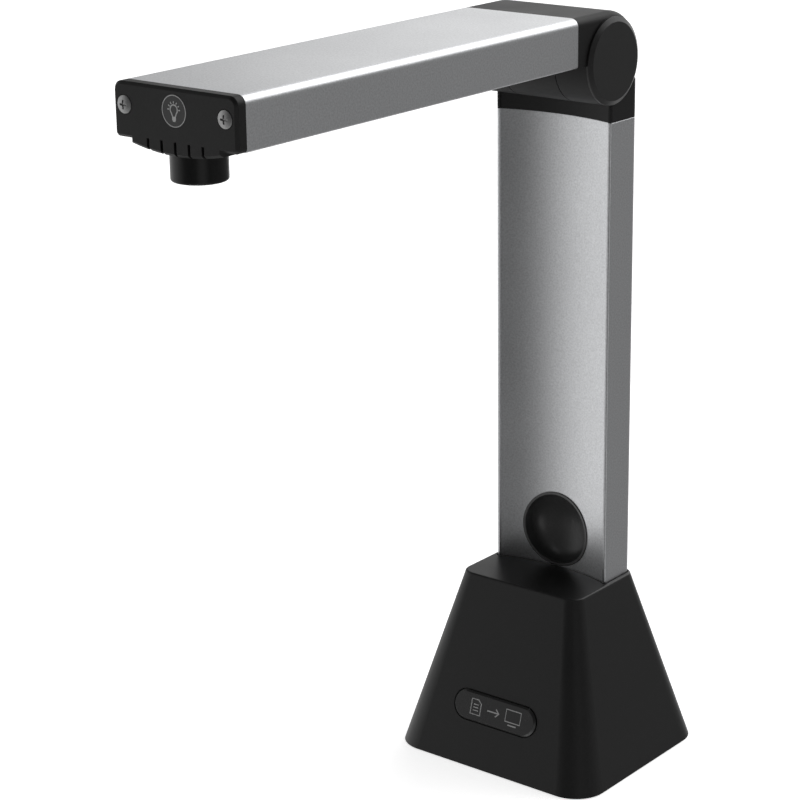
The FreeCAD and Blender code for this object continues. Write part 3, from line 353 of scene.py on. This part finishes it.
NODE_LOOKS = {
    "base_housing": "housing",
    "base_bottom_cover": "housing",
    "bottom_cover_screws": "screw",
    "rubber_feet": "rubber",
    "ballast_weight": "iron",
    "label_plate": "label",
    "usb_receptacle": "socket",
    "usb_tongue": "housing",
    "usb_board": "board",
    "column_socket": "housing",
    "column_fixing_screws": "screw",
    "column_extrusion": "column",
    "lens_parking_cup": "cup",
    "column_top_collar": "hinge",
    "collar_screws": "screw",
    "hinge_bushes": "brass",
    "friction_clips": "screw",
    "hinge_shaft": "socket",
    "shaft_rings": "screw",
    "arm_hinge_shell": "hinge",
    "hinge_cap_left": "disc",
    "hinge_cap_right": "disc",
    "arm_extrusion": "arm",
    "arm_joint_screws": "screw",
    "end_cap": "cap",
    "end_cap_screws": "screw",
    "touch_key_window": "key",
    "touch_sensor_board": "board",
    "camera_housing": "cap",
    "lens_barrel": "barrel",
    "lens_front_glass": "glass",
    "lens_elements": "glass",
    "image_sensor": "sensor",
    "camera_board": "board",
    "led_board": "board",
    "led_chips": "led",
    "led_window": "diffuser",
}


def dress_nodes():
    """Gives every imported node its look."""
    for name, look in NODE_LOOKS.items():
        slots = nodes[name].data.materials
        slots.clear()
        slots.append(LOOKS[look])


# --- pieces ---------------------------------------------------------------------------------------

def add_piece(name, builder, look, body):
    """Makes a mesh object from a bmesh, gives it a look and lets it ride on a body."""
    mesh = bpy.data.meshes.new(name)
    bmesh.ops.recalc_face_normals(builder, faces=builder.faces)
    builder.to_mesh(mesh)
    builder.free()
    mesh.materials.append(LOOKS[look])
    piece = bpy.data.objects.new(name, mesh)
    bpy.context.scene.collection.objects.link(piece)
    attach(piece, body)
    return piece


def stroke(builder, points, width, height, to_space, closed=False):
    """A flat raised line of even width (mm) along (u, v) points; to_space maps (u, v, lift)."""
    count = len(points)
    left, right = [], []
    for n, point in enumerate(points):
        before = points[(n - 1) % count] if closed or n > 0 else point
        after = points[(n + 1) % count] if closed or n < count - 1 else point
        run = Vector((after[0] - before[0], after[1] - before[1])).normalized()
        side = Vector((-run.y, run.x)) * width / 2
        left.append((point[0] + side.x, point[1] + side.y))
        right.append((point[0] - side.x, point[1] - side.y))
    rows = []
    for (lu, lv), (ru, rv) in zip(left, right):
        rows.append([builder.verts.new(to_space(u, v, lift))
                     for u, v, lift in ((lu, lv, 0), (lu, lv, height), (ru, rv, height), (ru, rv, 0))])
    spans = range(count if closed else count - 1)
    for n in spans:
        here, there = rows[n], rows[(n + 1) % count]
        for k in range(4):
            builder.faces.new((here[k], here[(k + 1) % 4], there[(k + 1) % 4], there[k]))
    if not closed:
        builder.faces.new(rows[0])
        builder.faces.new(rows[-1][::-1])


def arc_points(centre_u, centre_v, radius, start, end, count):
    """Evenly spaced points along an arc, from one angle to another in degrees."""
    return [(centre_u + radius * math.cos(math.radians(start + (end - start) * n / (count - 1))),
             centre_v + radius * math.sin(math.radians(start + (end - start) * n / (count - 1))))
            for n in range(count)]


PRINT_HEIGHT = 0.03 * MM
KEY_RING_RADIUS = 4.9
RING_POINTS = 96
RING_WIDTH = 0.26
BULB_LIFT = 0.45
BULB_RADIUS = 1.5
BULB_NECK = 0.6
BULB_NECK_END = -1.7
RAY_SPAN = (1.95, 2.65)
# The bulb's foot: (height, half width) of the bars that fill it.
BULB_FOOT = ((-1.9, 0.8), (-2.3, 0.8), (-2.7, 0.75), (-3.1, 0.55))


def make_key_print():
    """The thin ring and the bulb with its rays, printed on the touch key."""
    low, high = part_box("touch_key_window")
    middle = (low + high) / 2
    face_y = low.y

    def on_cap(u, v, lift):
        return Vector((middle.x + u * MM, face_y - lift, middle.z + v * MM))

    ring = bmesh.new()
    last_angle = 360 - 360 / RING_POINTS
    stroke(ring, arc_points(0, 0, KEY_RING_RADIUS, 0, last_angle, RING_POINTS), RING_WIDTH, PRINT_HEIGHT,
           on_cap, closed=True)
    add_piece("key_ring_print", ring, "print", "arm")

    bulb = bmesh.new()
    outline = [(-BULB_NECK, BULB_NECK_END), *arc_points(0, BULB_LIFT, BULB_RADIUS, 225, -45, 25),
               (BULB_NECK, BULB_NECK_END)]
    stroke(bulb, outline, 0.42, PRINT_HEIGHT, on_cap)
    for level, half in BULB_FOOT:
        stroke(bulb, [(-half, level), (half, level)], 0.4, PRINT_HEIGHT, on_cap)
    for turn in range(-90, 91, 30):
        aim = math.radians(90 + turn)
        ray = [(reach * math.cos(aim), BULB_LIFT + reach * math.sin(aim)) for reach in RAY_SPAN]
        stroke(bulb, ray, 0.34, PRINT_HEIGHT, on_cap)
    add_piece("key_bulb_print", bulb, "print", "arm")


def outward_face(name):
    """Centre and normal of a node's largest flat side that faces the front."""
    mesh = nodes[name].data
    facing = [p for p in mesh.polygons if p.normal.y < -0.5]
    best = max(facing, key=lambda p: p.area).normal.copy()
    alike = [p for p in facing if p.normal.dot(best) > 0.9999]
    reach = max(p.center.dot(best) for p in alike)
    top = [p for p in alike if p.center.dot(best) > reach - 0.05 * MM]
    area = sum(p.area for p in top)
    centre = sum((p.center * p.area for p in top), Vector()) / area
    return centre, best


# Outlines and lines of the plate's marks as (across, up), in millimetres from the plate's centre.
PAGE = ((-11.0, -3.0), (-6.4, -3.0), (-6.4, 1.6), (-7.8, 3.0), (-11.0, 3.0))
PAGE_LINES = (-1.4, -0.2, 1.0)
ARROW_SHAFT = ((-3.2, 0.0), (2.2, 0.0))
ARROW_HEAD = ((0.8, 1.5), (2.4, 0.0), (0.8, -1.5))
SCREEN = ((5.6, -1.8), (12.6, -1.8), (12.6, 3.0), (5.6, 3.0))
SCREEN_FOOT = ((7.2, -3.0), (11.0, -3.0))
THIN_LINE, OUTLINE_WIDTH, BOLD_LINE = 0.36, 0.42, 0.5


def make_label_print():
    """A generic page and screen pictogram on the plate, in place of lettering."""
    centre, outward = outward_face("label_plate")
    across = Vector((1, 0, 0))
    upward = outward.cross(across)

    def on_plate(u, v, lift):
        return centre + across * u * MM + upward * v * MM + outward * lift

    marks = bmesh.new()
    stroke(marks, PAGE, OUTLINE_WIDTH, PRINT_HEIGHT, on_plate, closed=True)
    for level in PAGE_LINES:
        stroke(marks, [(-9.9, level), (-7.5, level)], THIN_LINE, PRINT_HEIGHT, on_plate)
    stroke(marks, ARROW_SHAFT, BOLD_LINE, PRINT_HEIGHT, on_plate)
    stroke(marks, ARROW_HEAD, BOLD_LINE, PRINT_HEIGHT, on_plate)
    stroke(marks, SCREEN, OUTLINE_WIDTH, PRINT_HEIGHT, on_plate, closed=True)
    stroke(marks, SCREEN_FOOT, BOLD_LINE, PRINT_HEIGHT, on_plate)
    add_piece("label_marks", marks, "label_print", "stand")


# --- put together ---------------------------------------------------------------------------------

make_camera()
make_world()
make_floor()
dress_nodes()
make_key_print()
make_label_print()

scene = bpy.context.scene
scene.view_settings.view_transform = "Standard"
scene.view_settings.look = "None"
